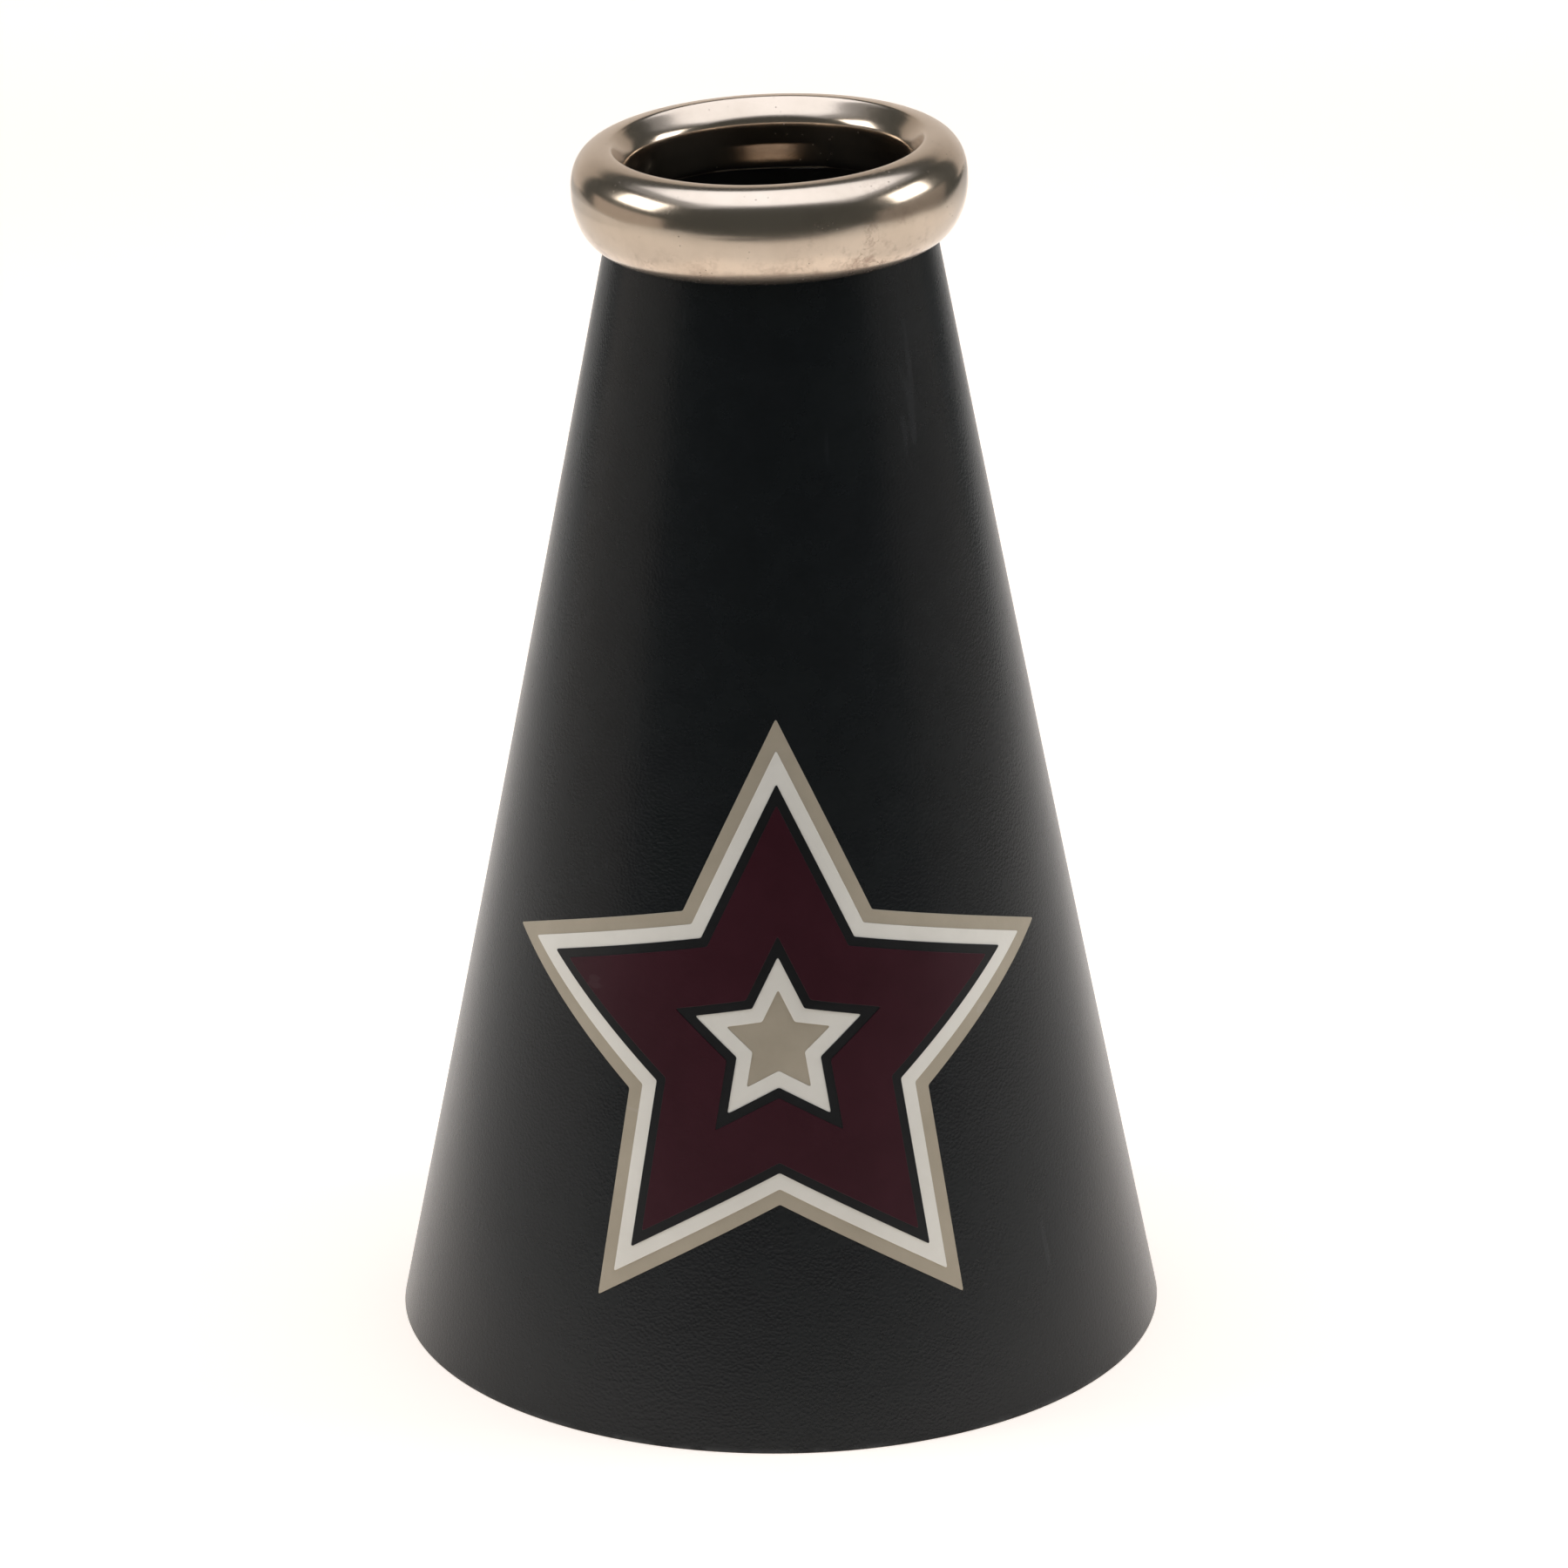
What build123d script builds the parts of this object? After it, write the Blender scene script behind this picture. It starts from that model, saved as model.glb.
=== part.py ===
from build123d import *
import os
from math import atan, atan2, cos, degrees, hypot, pi, radians, sin

os.makedirs("parts", exist_ok=True)

# A small cheer megaphone. A sheet of black plastic is rolled into a straight cone and lapped down the back, a hollow
# nickel-plated steel bead is closed over the cone's narrow end as the mouthpiece, and an emblem cut from four
# self-adhesive films is laid on the front. The origin is the centre of the bell's rim, on the plane the rim stands on.
# +Z runs up the axis to the mouthpiece, the emblem faces -Y and the lap seam is at +Y. Millimetres and degrees.

# ---- cone sheet ----
BELL_R = 50.8          # outer radius of the bell's rim, a 4 inch bell
TAPER = 0.1984         # outer radius lost for each millimetre of height
SHEET_T = 0.8          # thickness of the plastic sheet
FLARE_Z = 153.6        # the sheet's hidden end starts to turn outwards here, inside the bead
FLARE_R = 3.2          # radius of that turn, on the sheet's outer face
FLARE_ANGLE = 50.0     # how far the hidden end is turned outwards

# ---- lap seam ----
SEAM_AT = 90.0         # middle of the lap, straight back
LAP = 14.0             # angle over which the two plies lie on each other
EASE = 30.0            # angle over which the sheet steps in to pass under the outer ply
GLUE_T = 0.1           # adhesive between the plies
NOTCH_Z = 148.7        # the inner ply is notched away above this, so that the bead closes on one thickness
GLUE_MARGIN = 0.6      # the adhesive stops this many degrees short of the lap's two edges
GLUE_Z = (1.5, 146.5)  # and runs between these heights

# ---- seam rivets ----
RIVET_Z = (14.0, 74.0, 134.0)
SHANK_R = 1.2
HEAD_R = 2.4
HEAD_H = 0.85
TAIL_R = 1.95
TAIL_H = 0.75
BORE_R = 0.75          # the tubular end of the shank
WASHER_R = 2.7
WASHER_T = 0.5

# ---- mouthpiece bead: a superellipse outside, a chamfered shoulder and a straight wall on the throat side ----
BEAD_R = 20.63         # radius of the crest
BEAD_Z = 155.81        # height of the widest point
BEAD_OUT = 4.83        # from the crest circle out to the widest point
BEAD_IN = 2.73         # from the crest circle in to the throat
BEAD_UP = 5.49         # from the widest point up to the crest
BEAD_DOWN = 7.47       # and down to the outer lip
BEAD_N = 2.26          # squareness of the section above the widest point
BEAD_N_LOW = 2.05      # and below it
BEAD_T = 0.5           # thickness of the steel
# the throat side, from the crest down: how far in from the crest circle, and how far below the crest
SHOULDER = [(0.34, 0.06), (0.62, 0.24), (0.84, 0.46), (1.27, 0.93), (1.70, 1.40), (2.12, 1.87),
            (2.40, 2.25), (2.58, 2.60), (2.68, 2.98), (2.72, 3.40), (2.73, 4.0)]
CURL_Z = 153.0         # the inner lip starts to curl under here
CURL_R = 1.0           # outer radius of that curl
BEAD_TILT = 1.9        # the bead is closed on a little askew, high at +X
BEAD_PIVOT = 149.0     # height on the axis that it is turned about

# ---- emblem: a five-pointed star, measured on the sheet laid flat ----
STAR_Z = 52.9          # height of the star's centre on the cone
STAR_R = 31.0          # tip radius of the top film
STAR_WAIST = 0.5       # inner corner radius as a share of the tip radius
STROKE = 7.5           # width of the top film's band
BLACK_EDGE = 1.2       # how far each film shows past the one above
WHITE_EDGE = 1.9
TAN_EDGE = 1.8
FILM_T = 0.1           # thickness of each film

ALPHA = atan(TAPER)
SHEET_H = SHEET_T / cos(ALPHA)            # the sheet's thickness measured level
STEP_H = (SHEET_T + GLUE_T) / cos(ALPHA)  # how far the inner ply is set in, measured level
APEX_Z = BELL_R / TAPER


def outer_r(z):
    return BELL_R - TAPER * z


def polygon(points):
    return make_face(Polyline(*points, close=True))


def sector(start, end, r, z0, z1):
    """A wedge of a disc between two angles."""
    profile = Plane.XZ * polygon([(0, z0), (r, z0), (r, z1), (0, z1)])
    return Rot(0, 0, start) * revolve(profile, Axis.Z, end - start)


def sheet_sector(inset, t_h, z0, z1, start, end):
    """A strip of conical sheet: its outer face is set in by inset, and it is t_h thick, both measured level."""
    pts = [
        (outer_r(z0) - inset - t_h, z0),
        (outer_r(z0) - inset, z0),
        (outer_r(z1) - inset, z1),
        (outer_r(z1) - inset - t_h, z1),
    ]
    return Rot(0, 0, start) * revolve(Plane.XZ * polygon(pts), Axis.Z, end - start)


# ---- cone shell ----
# The wall is straight up to the flare, then turns outwards through an arc and ends square.
lean = ALPHA
p_out0, p_in0 = (BELL_R, 0.0), (BELL_R - SHEET_H, 0.0)
p_out1 = (outer_r(FLARE_Z), FLARE_Z)
normal = (cos(lean), sin(lean))
centre = (p_out1[0] + FLARE_R * normal[0], p_out1[1] + FLARE_R * normal[1])
p_in1 = (p_out1[0] - SHEET_T * normal[0], p_out1[1] - SHEET_T * normal[1])


def on_turn(angle, radius):
    # the angle grows outwards: the wall's direction swings from up-and-in to up-and-out
    return (centre[0] - radius * cos(lean - radians(angle)), centre[1] - radius * sin(lean - radians(angle)))


half, full = FLARE_ANGLE / 2, FLARE_ANGLE
with BuildSketch(Plane.XZ) as wall:
    with BuildLine():
        Line(p_in0, p_out0)
        Line(p_out0, p_out1)
        ThreePointArc(p_out1, on_turn(half, FLARE_R), on_turn(full, FLARE_R))
        Line(on_turn(full, FLARE_R), on_turn(full, FLARE_R + SHEET_T))
        ThreePointArc(on_turn(full, FLARE_R + SHEET_T), on_turn(half, FLARE_R + SHEET_T), p_in1)
        Line(p_in1, p_in0)
    make_face()
shell = revolve(wall.sketch, Axis.Z, 360)

lap0, lap1 = SEAM_AT - LAP / 2, SEAM_AT + LAP / 2
ease0, ease1 = lap0 - 3.0 - EASE, lap0 - 3.0
shell -= sector(ease0, lap0, 80, -1, NOTCH_Z)


def eased_wire(z):
    """The sheet's section where it steps in, at one height."""
    steps = 12
    out, inn = [], []
    for i in range(steps + 1):
        t = i / steps
        d = STEP_H * t * t * t * (10 - 15 * t + 6 * t * t)
        a = radians(ease0 + EASE * t)
        r = outer_r(z) - d
        out.append((r * cos(a), r * sin(a), z))
        inn.append(((r - SHEET_H) * cos(a), (r - SHEET_H) * sin(a), z))
    a0, a1 = radians(ease0), radians(ease1)
    t0, t1 = (-sin(a0), cos(a0), 0), (-sin(a1), cos(a1), 0)
    e_out = Edge.make_spline([Vector(*p) for p in out], tangents=[Vector(*t0), Vector(*t1)])
    e_inn = Edge.make_spline([Vector(*p) for p in inn], tangents=[Vector(*t0), Vector(*t1)])
    e_end = Edge.make_line(Vector(*out[-1]), Vector(*inn[-1]))
    e_start = Edge.make_line(Vector(*inn[0]), Vector(*out[0]))
    return Wire([e_out, e_end, e_inn, e_start])


ease = Solid.make_loft([eased_wire(0.0), eased_wire(NOTCH_Z)], ruled=True)
under = sheet_sector(STEP_H, SHEET_H, 0.0, NOTCH_Z, ease1, lap1)
shell = shell + ease + under

# ---- seam rivets, their washers and the adhesive ----
glue = sheet_sector(SHEET_H, STEP_H - SHEET_H, GLUE_Z[0], GLUE_Z[1], lap0 + GLUE_MARGIN, lap1 - GLUE_MARGIN)
grip = 2 * SHEET_T + GLUE_T
below = -grip - WASHER_T


def at_seam(z):
    """A frame on the sheet's outer face at the seam, with its z pointing straight out of the sheet."""
    a = radians(SEAM_AT)
    c, s = cos(a), sin(a)
    r = outer_r(z)
    return Plane(
        origin=(r * c, r * s, z),
        x_dir=(-s, c, 0),
        z_dir=(c * cos(ALPHA), s * cos(ALPHA), sin(ALPHA)),
    )


def rivet():
    with BuildSketch(Plane.XZ) as s:
        with BuildLine():
            Line((0, below - TAIL_H + 1.6), (0, HEAD_H))
            Spline((0, HEAD_H), (HEAD_R * 0.6, HEAD_H * 0.8), (HEAD_R, 0.18), tangents=[(1, 0), (0.25, -1)])
            Line((HEAD_R, 0.18), (HEAD_R - 0.05, -0.25))
            Line((HEAD_R - 0.05, -0.25), (SHANK_R, -0.25))
            Line((SHANK_R, -0.25), (SHANK_R, below))
            Line((SHANK_R, below), (TAIL_R, below))
            Spline((TAIL_R, below), (TAIL_R + 0.02, below - TAIL_H * 0.55), (1.35, below - TAIL_H), tangents=[(0.1, -1), (-1, -0.05)])
            Spline((1.35, below - TAIL_H), (BORE_R, below - TAIL_H + 0.75), tangents=[(-1, 0.1), (0, 1)])
            Line((BORE_R, below - TAIL_H + 0.75), (BORE_R, below - TAIL_H + 1.3))
            Line((BORE_R, below - TAIL_H + 1.3), (0, below - TAIL_H + 1.6))
        make_face()
    return revolve(s.sketch, Axis.Z, 360)


holes, rivets, washers = [], [], []
for z in RIVET_Z:
    place = at_seam(z)
    holes.append(place * Pos(0, 0, -2) * Cylinder(SHANK_R, 8))
    rivets.append(place * rivet())
    disc = Pos(0, 0, below + 0.35) * Cylinder(WASHER_R, 0.7)
    disc = disc - Pos(0, 0, below) * Cylinder(SHANK_R, 4)
    washers.append(place * disc)
for h in holes:
    shell -= h
    glue -= h
rivets = [r - shell for r in rivets]
washers = [w - shell for w in washers]

# ---- mouthpiece bead ----


def quarter(t0, t1, out, up, square, n):
    pts = []
    for i in range(n + 1):
        a = radians(t0 + (t1 - t0) * i / n)
        c, s = cos(a), sin(a)
        u = (1 if c >= 0 else -1) * abs(c) ** (2 / square) * out
        w = (1 if s >= 0 else -1) * abs(s) ** (2 / square) * up
        pts.append((BEAD_R + u, BEAD_Z + w))
    return pts


lip = [p for p in quarter(-86, 0, BEAD_OUT, BEAD_DOWN, BEAD_N_LOW, 18) if p[0] > outer_r(p[1]) - 0.35]
skin = lip[:-1] + quarter(0, 90, BEAD_OUT, BEAD_UP, BEAD_N, 14)
skin += [(BEAD_R - inset, BEAD_Z + BEAD_UP - drop) for inset, drop in SHOULDER]
turn_x = BEAD_R - BEAD_IN + 0.08  # the wall opens out a little on its way down to the curl
skin += [(BEAD_R - BEAD_IN, BEAD_Z), (BEAD_R - BEAD_IN + 0.03, CURL_Z + 0.9)]
curl_c = (turn_x + CURL_R, CURL_Z)
curl = [(curl_c[0] - CURL_R * cos(radians(a)), curl_c[1] - CURL_R * sin(radians(a))) for a in (5, 25, 45, 65, 85)]
skin += curl + [(curl_c[0] + 0.35, curl_c[1] - CURL_R - 0.02), (curl_c[0] + 1.25, curl_c[1] - CURL_R)]


def offset_in(pts, t):
    """The steel's inner face: each point moved t towards the hollow of the bead, which is on the left going round."""
    out = []
    for i, p in enumerate(pts):
        a, b = pts[max(i - 1, 0)], pts[min(i + 1, len(pts) - 1)]
        dx, dz = b[0] - a[0], b[1] - a[1]
        length = hypot(dx, dz)
        out.append((p[0] - t * dz / length, p[1] + t * dx / length))
    return out


back = offset_in(skin, BEAD_T)
with BuildSketch(Plane.XZ) as bead:
    with BuildLine():
        Spline(*skin)
        Line(skin[-1], back[-1])
        Spline(*back[::-1])
        Line(back[0], skin[0])
    make_face()
ring = Pos(0, 0, BEAD_PIVOT) * Rot(0, -BEAD_TILT, 0) * Pos(0, 0, -BEAD_PIVOT) * revolve(bead.sketch, Axis.Z, 360)
# both lips close on the cone's wall, and end where they meet its faces
wall_band = polygon(
    [
        (outer_r(140) - SHEET_H, 140),
        (outer_r(140), 140),
        (outer_r(FLARE_Z), FLARE_Z),
        (outer_r(FLARE_Z) - SHEET_H, FLARE_Z),
    ]
)
ring -= revolve(Plane.XZ * wall_band, Axis.Z, 360)
ring = max(ring.solids(), key=lambda s: s.volume)

# ---- emblem films ----
SLANT_C = (APEX_Z - STAR_Z) / cos(ALPHA)  # from the cone's apex to the star's centre, along the sheet


def on_cone(u, v):
    """A point of the sheet laid flat, u to the right of the star's centre and v above it, seen square from the front."""
    rho, theta = hypot(u, SLANT_C - v), atan2(u, SLANT_C - v)
    r, phi = rho * sin(ALPHA), theta / sin(ALPHA)
    return (r * sin(phi), APEX_Z - rho * cos(ALPHA))


def star_corners(tip):
    pts = []
    for i in range(10):
        a = radians(90 + 36 * i)
        r = tip if i % 2 == 0 else tip * STAR_WAIST
        pts.append((r * cos(a), r * sin(a)))
    return pts


def star_face(tip):
    """The star's outline as it lies round the cone, seen square from the front."""
    corners = star_corners(tip)
    edges = []
    for (u0, v0), (u1, v1) in zip(corners, corners[1:] + corners[:1]):
        pts = [on_cone(u0 + (u1 - u0) * k / 8, v0 + (v1 - v0) * k / 8) for k in range(9)]
        edges.append(Edge.make_spline([Vector(x, 0, z) for x, z in pts]))
    return Face(Wire(edges))


def tip_for(change):
    """The tip radius of a star whose sides lie this much further out than the top film's."""
    half = atan2(STAR_WAIST * sin(pi / 5), 1 - STAR_WAIST * cos(pi / 5))
    side = STAR_R * sin(half)
    return STAR_R * (side + change) / side


def film(level, tip, hole=None):
    t_h = FILM_T / cos(ALPHA)
    skin_sector = sheet_sector(-t_h * (level + 1), t_h, 5.0, 110.0, 190.0, 350.0)
    cutter = Solid.extrude(star_face(tip), Vector(0, -80, 0))
    body = skin_sector & cutter
    if hole:
        body -= Solid.extrude(star_face(hole), Vector(0, -80, 0))
    return body


films = {
    "emblem_tan_film": film(0, tip_for(BLACK_EDGE + WHITE_EDGE + TAN_EDGE)),
    "emblem_white_film": film(1, tip_for(BLACK_EDGE + WHITE_EDGE), tip_for(-STROKE - BLACK_EDGE - WHITE_EDGE)),
    "emblem_black_film": film(2, tip_for(BLACK_EDGE), tip_for(-STROKE - BLACK_EDGE)),
    "emblem_maroon_film": film(3, tip_for(0), tip_for(-STROKE)),
}


def one(shape):
    """The single solid of a node, without the crumbs that a cut may leave."""
    solids = [s for s in shape.solids() if s.volume > 1e-3]
    return solids[0] if len(solids) == 1 else Compound(solids)


nodes = {
    "cone_shell": one(shell),
    "seam_adhesive": one(glue),
    "seam_rivets": Compound([one(r) for r in rivets]),
    "seam_rivet_washers": Compound([one(w) for w in washers]),
    "mouthpiece_ring": ring,
}
nodes.update({name: one(shape) for name, shape in films.items()})

for name, shape in nodes.items():
    export_step(shape, f"parts/{name}.step")
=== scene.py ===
from math import acos, atan, atan2, cos, degrees, hypot, pi, radians, sin, sqrt

import bmesh
import bpy
import numpy as np
from mathutils import Matrix, Vector


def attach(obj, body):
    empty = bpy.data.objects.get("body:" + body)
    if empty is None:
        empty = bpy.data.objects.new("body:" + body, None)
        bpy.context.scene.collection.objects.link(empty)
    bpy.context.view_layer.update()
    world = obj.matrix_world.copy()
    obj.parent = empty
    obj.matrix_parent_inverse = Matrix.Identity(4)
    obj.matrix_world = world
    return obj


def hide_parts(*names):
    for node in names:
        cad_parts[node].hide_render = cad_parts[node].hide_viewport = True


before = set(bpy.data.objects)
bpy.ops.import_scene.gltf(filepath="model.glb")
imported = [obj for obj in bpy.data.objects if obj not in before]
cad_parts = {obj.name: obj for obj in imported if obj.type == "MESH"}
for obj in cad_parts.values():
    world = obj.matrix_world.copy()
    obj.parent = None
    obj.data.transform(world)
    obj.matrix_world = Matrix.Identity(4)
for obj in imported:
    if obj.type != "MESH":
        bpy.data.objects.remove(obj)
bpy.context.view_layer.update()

# The looks of a small cheer megaphone: a black plastic cone with a lap seam riveted down the back, a nickel-plated
# bead as the mouthpiece and a star of four stacked films on the front. Lengths here are in millimetres until a mesh is
# made. Angles round the axis are in degrees, 0 at +X and 90 at +Y.

MM = 0.001

# ---------------------------------------------------------------- dimensions of the object, as in the CAD
BELL_R, TAPER, SHEET_T = 50.8, 0.1984, 0.8
FLARE_Z, FLARE_R, FLARE_ANGLE = 153.6, 3.2, 50.0
LAP0, LAP1, EASE0, EASE1, GLUE_T, NOTCH_Z = 83.0, 97.0, 50.0, 80.0, 0.1, 148.7
RIVET_Z = (14.0, 74.0, 134.0)
SHANK_R, HEAD_R, HEAD_H, TAIL_R, TAIL_H, BORE_R, WASHER_R, WASHER_T = 1.2, 2.4, 0.85, 1.95, 0.75, 0.75, 2.7, 0.5
BEAD_R, BEAD_Z, BEAD_OUT, BEAD_IN, BEAD_UP, BEAD_DOWN, BEAD_N, BEAD_T = 20.63, 155.81, 4.83, 2.73, 5.49, 7.47, 2.26, 0.5
SHOULDER = [(0.34, 0.06), (0.62, 0.24), (0.84, 0.46), (1.27, 0.93), (1.70, 1.40), (2.12, 1.87),
            (2.40, 2.25), (2.58, 2.60), (2.68, 2.98), (2.72, 3.40), (2.73, 4.0)]
CURL_Z, CURL_R = 153.0, 1.0
BEAD_N_LOW, BEAD_TILT, BEAD_PIVOT = 2.05, 1.9, 149.0
STAR_Z, STAR_R, STAR_WAIST, STROKE = 52.9, 31.0, 0.5, 7.5
BLACK_EDGE, WHITE_EDGE, TAN_EDGE, FILM_T = 1.2, 1.9, 1.8, 0.1

ALPHA = atan(TAPER)
SHEET_H = SHEET_T / cos(ALPHA)
STEP_H = (SHEET_T + GLUE_T) / cos(ALPHA)
APEX_Z = BELL_R / TAPER
SLANT_C = (APEX_Z - STAR_Z) / cos(ALPHA)


def outer_r(z):
    return BELL_R - TAPER * z


def wave(phi, z):
    """How far the rolled sheet stands in from a perfect cone: a slight waist between its two stiff ends, and faint flats
    left by the rolling. It goes round without a step, so that both plies of the lap move together."""
    a = radians(phi)
    env = sin(pi * min(max(z / 150.0, 0.0), 1.0))
    soft = 0.5 + 0.28 * sin(2 * a + 0.9 + z / 44.0) + 0.14 * sin(3 * a - 1.1 - z / 31.0) + 0.08 * sin(5 * a + z / 23.0)
    return env * (0.2 + 0.12 * soft)


# ---------------------------------------------------------------- mesh helpers
def build(name, verts, faces, material, sharp=38.0):
    mesh = bpy.data.meshes.new(name)
    mesh.from_pydata([(x * MM, y * MM, z * MM) for x, y, z in verts], [], faces)
    bm = bmesh.new()
    bm.from_mesh(mesh)
    bmesh.ops.remove_doubles(bm, verts=bm.verts, dist=1e-8)
    bmesh.ops.recalc_face_normals(bm, faces=bm.faces)
    bm.to_mesh(mesh)
    bm.free()
    mesh.polygons.foreach_set("use_smooth", [True] * len(mesh.polygons))
    mesh.set_sharp_from_angle(angle=radians(sharp))
    mesh.materials.append(material)
    obj = bpy.data.objects.new(name, mesh)
    bpy.context.scene.collection.objects.link(obj)
    return obj


def show(obj, slot, *nodes):
    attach(obj, "root")
    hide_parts(*nodes)
    return obj


def joined(parts):
    """Several vertex and face lists as one."""
    verts, faces = [], []
    for v, f in parts:
        n = len(verts)
        verts += v
        faces += [tuple(i + n for i in face) for face in f]
    return verts, faces


def worn(e, r):
    """How much a square edge rounded to radius r is lowered at a distance e in from it."""
    return r - sqrt(max(r * r - (r - e) ** 2, 0.0)) if e < r else 0.0


def cubic(points, most=0.16):
    """A natural cubic through the points, sampled no coarser than most."""
    p = np.array(points, float)
    n = len(p)
    t = np.r_[0, np.cumsum(np.hypot(*np.diff(p, axis=0).T))]
    h = np.diff(t)
    a, b = np.zeros((n, n)), np.zeros((n, 2))
    a[0, 0] = a[-1, -1] = 1
    for i in range(1, n - 1):
        a[i, i - 1], a[i, i], a[i, i + 1] = h[i - 1], 2 * (h[i - 1] + h[i]), h[i]
        b[i] = 3 * ((p[i + 1] - p[i]) / h[i] - (p[i] - p[i - 1]) / h[i - 1])
    c = np.linalg.solve(a, b)
    out = []
    for i in range(n - 1):
        slope = (p[i + 1] - p[i]) / h[i] - h[i] * (2 * c[i] + c[i + 1]) / 3
        steps = max(int(np.ceil(h[i] / most)), 2)
        for k in range(steps):
            x = h[i] * k / steps
            out.append(tuple(p[i] + slope * x + c[i] * x * x + (c[i + 1] - c[i]) / (3 * h[i]) * x**3))
    out.append(tuple(p[-1]))
    return out


def lathe(section, turns, place):
    """A closed section swept right round. place turns (r, z, angle) into a point."""
    n = len(section)
    verts = [place(r, z, 360.0 * k / turns) for k in range(turns) for r, z in section]
    faces = []
    for k in range(turns):
        a, b = k * n, ((k + 1) % turns) * n
        for i in range(n):
            j = (i + 1) % n
            faces.append((a + i, b + i, b + j, a + j))
    return verts, faces


# ---------------------------------------------------------------- the rolled cone
EDGE_R = 0.16


def step_in(phi):
    """How far the sheet is set in under the lap, level, at an angle counted on from the outer ply's edge."""
    if phi <= 360 + EASE0:
        return 0.0
    t = min((phi - 360 - EASE0) / (EASE1 - EASE0), 1.0)
    return STEP_H * t * t * t * (10 - 15 * t + 6 * t * t)


def span(a, b, most):
    n = max(int(round(abs(b - a) / most)), 1)
    return [a + (b - a) * i / n for i in range(n)]


def cone_mesh():
    rim = [EDGE_R * k for k in (0, 0.12, 0.35, 0.65, 1.0, 1.4)]
    turn = [degrees(e / 42.0) for e in rim]
    phis = [LAP0 + d for d in turn[:-1]]
    phis += span(LAP0 + turn[-1], 360 + EASE0, 1.25)
    join0 = len(phis)
    phis += span(360 + EASE0, 360 + LAP0, 1.25)
    join1 = len(phis)
    phis += span(360 + LAP0, 360 + LAP1 - turn[-1], 1.25)
    phis += [360 + LAP1 - d for d in turn[::-1]]
    zs = rim[:-1] + span(rim[-1], NOTCH_Z, 1.9) + [NOTCH_Z]
    nc, nr = len(phis), len(zs)
    verts = []

    def put(r, z, phi):
        a = radians(phi)
        verts.append((r * cos(a), r * sin(a), z))
        return len(verts) - 1

    out, inn = {}, {}
    for i, z in enumerate(zs):
        for j, phi in enumerate(phis):
            ex = radians(min(phi - LAP0, 360 + LAP1 - phi)) * 42.0
            qx, qz = max(EDGE_R - ex, 0), max(EDGE_R - z, 0)
            q = min(hypot(qx, qz), EDGE_R)
            off = EDGE_R - sqrt(EDGE_R**2 - q * q)
            base = outer_r(z) - step_in(phi) - wave(phi, z)
            zz = z - 0.06 if (i == nr - 1 and j > join0) else z
            out[i, j] = put(base - off, zz, phi)
            inn[i, j] = put(base - SHEET_H + off, zz, phi)
    faces = []
    for i in range(nr - 1):
        for j in range(nc - 1):
            faces.append((out[i, j], out[i, j + 1], out[i + 1, j + 1], out[i + 1, j]))
            faces.append((inn[i, j], inn[i + 1, j], inn[i + 1, j + 1], inn[i, j + 1]))
        for j in (0, nc - 1):
            faces.append((out[i, j], out[i + 1, j], inn[i + 1, j], inn[i, j]))
    for j in range(nc - 1):
        faces.append((out[0, j], inn[0, j], inn[0, j + 1], out[0, j + 1]))
        if j >= join0:
            faces.append((out[nr - 1, j], out[nr - 1, j + 1], inn[nr - 1, j + 1], inn[nr - 1, j]))
    # the collar above the notch is one thickness all the way round, and flares inside the bead
    lean = ALPHA
    centre = (outer_r(FLARE_Z) + FLARE_R * cos(lean), FLARE_Z + FLARE_R * sin(lean))
    rows = [((outer_r(z), z), (outer_r(z) - SHEET_H, z)) for z in (149.6, 150.9, 152.2)]
    for k in range(9):
        a = radians(FLARE_ANGLE * k / 8)
        c, s = cos(lean - a), sin(lean - a)
        near, far = FLARE_R, FLARE_R + SHEET_T
        rows.append(((centre[0] - near * c, centre[1] - near * s), (centre[0] - far * c, centre[1] - far * s)))
    ring = list(range(join1))  # the last of them stands just short of the first
    low_out = {j: out[nr - 1, j] for j in ring if j <= join0}
    low_inn = {j: inn[nr - 1, j] for j in ring if j <= join0}
    for j in ring:
        if j > join0:
            low_out[j] = put(outer_r(NOTCH_Z) - wave(phis[j], NOTCH_Z), NOTCH_Z, phis[j])
            low_inn[j] = put(outer_r(NOTCH_Z) - SHEET_H - wave(phis[j], NOTCH_Z), NOTCH_Z, phis[j])
    for j in ring[join0:]:
        k = ring[(j + 1) % len(ring)]
        faces.append((low_out[j], low_inn[j], low_inn[k], low_out[k]))
    prev_o, prev_i = low_out, low_inn
    for (ro, zo), (ri, zi) in rows:
        cur_o = {j: put(ro, zo, phis[j]) for j in ring}
        cur_i = {j: put(ri, zi, phis[j]) for j in ring}
        for j in ring:
            k = ring[(j + 1) % len(ring)]
            faces.append((prev_o[j], prev_o[k], cur_o[k], cur_o[j]))
            faces.append((prev_i[j], cur_i[j], cur_i[k], prev_i[k]))
        prev_o, prev_i = cur_o, cur_i
    for j in ring:
        k = ring[(j + 1) % len(ring)]
        faces.append((prev_o[j], prev_o[k], prev_i[k], prev_i[j]))
    return verts, faces


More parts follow.
